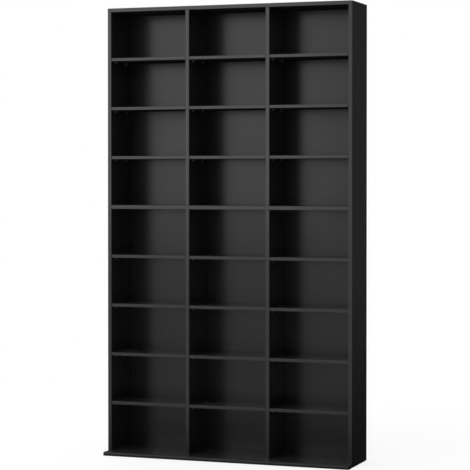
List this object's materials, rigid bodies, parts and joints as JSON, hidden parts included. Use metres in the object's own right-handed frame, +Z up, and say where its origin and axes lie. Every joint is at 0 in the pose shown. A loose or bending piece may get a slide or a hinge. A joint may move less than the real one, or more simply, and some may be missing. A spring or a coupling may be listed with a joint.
{
  "type": "disc storage tower",
  "caption": "Tall open-fronted black cabinet of equal compartments for disc cases, with loose shelves on plug-in supports and a base lip with a rounded nose.",
  "frame": {"origin": "middle of the footprint, at floor level", "axes": "+X across the width to the right as seen from the front, -Y out of the open front, +Z up"},
  "size_m": [1.014, 0.2564, 1.78],
  "materials": {
    "black_foil_board": "satin black foil on chipboard",
    "black_hardboard": "matt black painted hardboard",
    "dark_steel": "black zinc",
    "beech": "plain turned beech"
  },
  "bodies": {
    "cabinet": {"base_board": "black_foil_board", "middle_board": "black_foil_board", "top_board": "black_foil_board", "upper_left_side": "black_foil_board", "upper_left_divider": "black_foil_board", "upper_right_divider": "black_foil_board", "upper_right_side": "black_foil_board", "lower_left_side": "black_foil_board", "lower_left_divider": "black_foil_board", "lower_right_divider": "black_foil_board", "lower_right_side": "black_foil_board", "lower_back_sheet": "black_hardboard", "upper_back_sheet": "black_hardboard", "top_screw_left_side_front": "dark_steel", "top_screw_left_side_rear": "dark_steel", "top_screw_left_divider_front": "dark_steel", "top_screw_left_divider_rear": "dark_steel", "top_screw_right_divider_front": "dark_steel", "top_screw_right_divider_rear": "dark_steel", "top_screw_right_side_front": "dark_steel", "top_screw_right_side_rear": "dark_steel", "base_screw_left_side_front": "dark_steel", "base_screw_left_side_rear": "dark_steel", "base_screw_left_divider_front": "dark_steel", "base_screw_left_divider_rear": "dark_steel", "base_screw_right_divider_front": "dark_steel", "base_screw_right_divider_rear": "dark_steel", "base_screw_right_side_front": "dark_steel", "base_screw_right_side_rear": "dark_steel", "middle_dowel_left_side_front": "beech", "middle_dowel_left_side_rear": "beech", "middle_dowel_left_divider_front": "beech", "middle_dowel_left_divider_rear": "beech", "middle_dowel_right_divider_front": "beech", "middle_dowel_right_divider_rear": "beech", "middle_dowel_right_side_front": "beech", "middle_dowel_right_side_rear": "beech"},
    "upper_shelf_left_1": {"upper_shelf_left_1": "black_foil_board"},
    "upper_shelf_centre_1": {"upper_shelf_centre_1": "black_foil_board"},
    "upper_shelf_right_1": {"upper_shelf_right_1": "black_foil_board"},
    "upper_shelf_left_2": {"upper_shelf_left_2": "black_foil_board"},
    "upper_shelf_centre_2": {"upper_shelf_centre_2": "black_foil_board"},
    "upper_shelf_right_2": {"upper_shelf_right_2": "black_foil_board"},
    "upper_shelf_left_3": {"upper_shelf_left_3": "black_foil_board"},
    "upper_shelf_centre_3": {"upper_shelf_centre_3": "black_foil_board"},
    "upper_shelf_right_3": {"upper_shelf_right_3": "black_foil_board"},
    "lower_shelf_left_1": {"lower_shelf_left_1": "black_foil_board"},
    "lower_shelf_centre_1": {"lower_shelf_centre_1": "black_foil_board"},
    "lower_shelf_right_1": {"lower_shelf_right_1": "black_foil_board"},
    "lower_shelf_left_2": {"lower_shelf_left_2": "black_foil_board"},
    "lower_shelf_centre_2": {"lower_shelf_centre_2": "black_foil_board"},
    "lower_shelf_right_2": {"lower_shelf_right_2": "black_foil_board"},
    "lower_shelf_left_3": {"lower_shelf_left_3": "black_foil_board"},
    "lower_shelf_centre_3": {"lower_shelf_centre_3": "black_foil_board"},
    "lower_shelf_right_3": {"lower_shelf_right_3": "black_foil_board"},
    "lower_shelf_left_4": {"lower_shelf_left_4": "black_foil_board"},
    "lower_shelf_centre_4": {"lower_shelf_centre_4": "black_foil_board"},
    "lower_shelf_right_4": {"lower_shelf_right_4": "black_foil_board"}
  },
  "joints": [
    {"name": "upper_left_1_slide", "type": "slide", "parent": "cabinet", "child": "upper_shelf_left_1", "axis": [0, -1, 0], "range_m": [0, 0.2]},
    {"name": "upper_centre_1_slide", "type": "slide", "parent": "cabinet", "child": "upper_shelf_centre_1", "axis": [0, -1, 0], "range_m": [0, 0.2]},
    {"name": "upper_right_1_slide", "type": "slide", "parent": "cabinet", "child": "upper_shelf_right_1", "axis": [0, -1, 0], "range_m": [0, 0.2]},
    {"name": "upper_left_2_slide", "type": "slide", "parent": "cabinet", "child": "upper_shelf_left_2", "axis": [0, -1, 0], "range_m": [0, 0.2]},
    {"name": "upper_centre_2_slide", "type": "slide", "parent": "cabinet", "child": "upper_shelf_centre_2", "axis": [0, -1, 0], "range_m": [0, 0.2]},
    {"name": "upper_right_2_slide", "type": "slide", "parent": "cabinet", "child": "upper_shelf_right_2", "axis": [0, -1, 0], "range_m": [0, 0.2]},
    {"name": "upper_left_3_slide", "type": "slide", "parent": "cabinet", "child": "upper_shelf_left_3", "axis": [0, -1, 0], "range_m": [0, 0.2]},
    {"name": "upper_centre_3_slide", "type": "slide", "parent": "cabinet", "child": "upper_shelf_centre_3", "axis": [0, -1, 0], "range_m": [0, 0.2]},
    {"name": "upper_right_3_slide", "type": "slide", "parent": "cabinet", "child": "upper_shelf_right_3", "axis": [0, -1, 0], "range_m": [0, 0.2]},
    {"name": "lower_left_1_slide", "type": "slide", "parent": "cabinet", "child": "lower_shelf_left_1", "axis": [0, -1, 0], "range_m": [0, 0.2]},
    {"name": "lower_centre_1_slide", "type": "slide", "parent": "cabinet", "child": "lower_shelf_centre_1", "axis": [0, -1, 0], "range_m": [0, 0.2]},
    {"name": "lower_right_1_slide", "type": "slide", "parent": "cabinet", "child": "lower_shelf_right_1", "axis": [0, -1, 0], "range_m": [0, 0.2]},
    {"name": "lower_left_2_slide", "type": "slide", "parent": "cabinet", "child": "lower_shelf_left_2", "axis": [0, -1, 0], "range_m": [0, 0.2]},
    {"name": "lower_centre_2_slide", "type": "slide", "parent": "cabinet", "child": "lower_shelf_centre_2", "axis": [0, -1, 0], "range_m": [0, 0.2]},
    {"name": "lower_right_2_slide", "type": "slide", "parent": "cabinet", "child": "lower_shelf_right_2", "axis": [0, -1, 0], "range_m": [0, 0.2]},
    {"name": "lower_left_3_slide", "type": "slide", "parent": "cabinet", "child": "lower_shelf_left_3", "axis": [0, -1, 0], "range_m": [0, 0.2]},
    {"name": "lower_centre_3_slide", "type": "slide", "parent": "cabinet", "child": "lower_shelf_centre_3", "axis": [0, -1, 0], "range_m": [0, 0.2]},
    {"name": "lower_right_3_slide", "type": "slide", "parent": "cabinet", "child": "lower_shelf_right_3", "axis": [0, -1, 0], "range_m": [0, 0.2]},
    {"name": "lower_left_4_slide", "type": "slide", "parent": "cabinet", "child": "lower_shelf_left_4", "axis": [0, -1, 0], "range_m": [0, 0.2]},
    {"name": "lower_centre_4_slide", "type": "slide", "parent": "cabinet", "child": "lower_shelf_centre_4", "axis": [0, -1, 0], "range_m": [0, 0.2]},
    {"name": "lower_right_4_slide", "type": "slide", "parent": "cabinet", "child": "lower_shelf_right_4", "axis": [0, -1, 0], "range_m": [0, 0.2]}
  ]
}
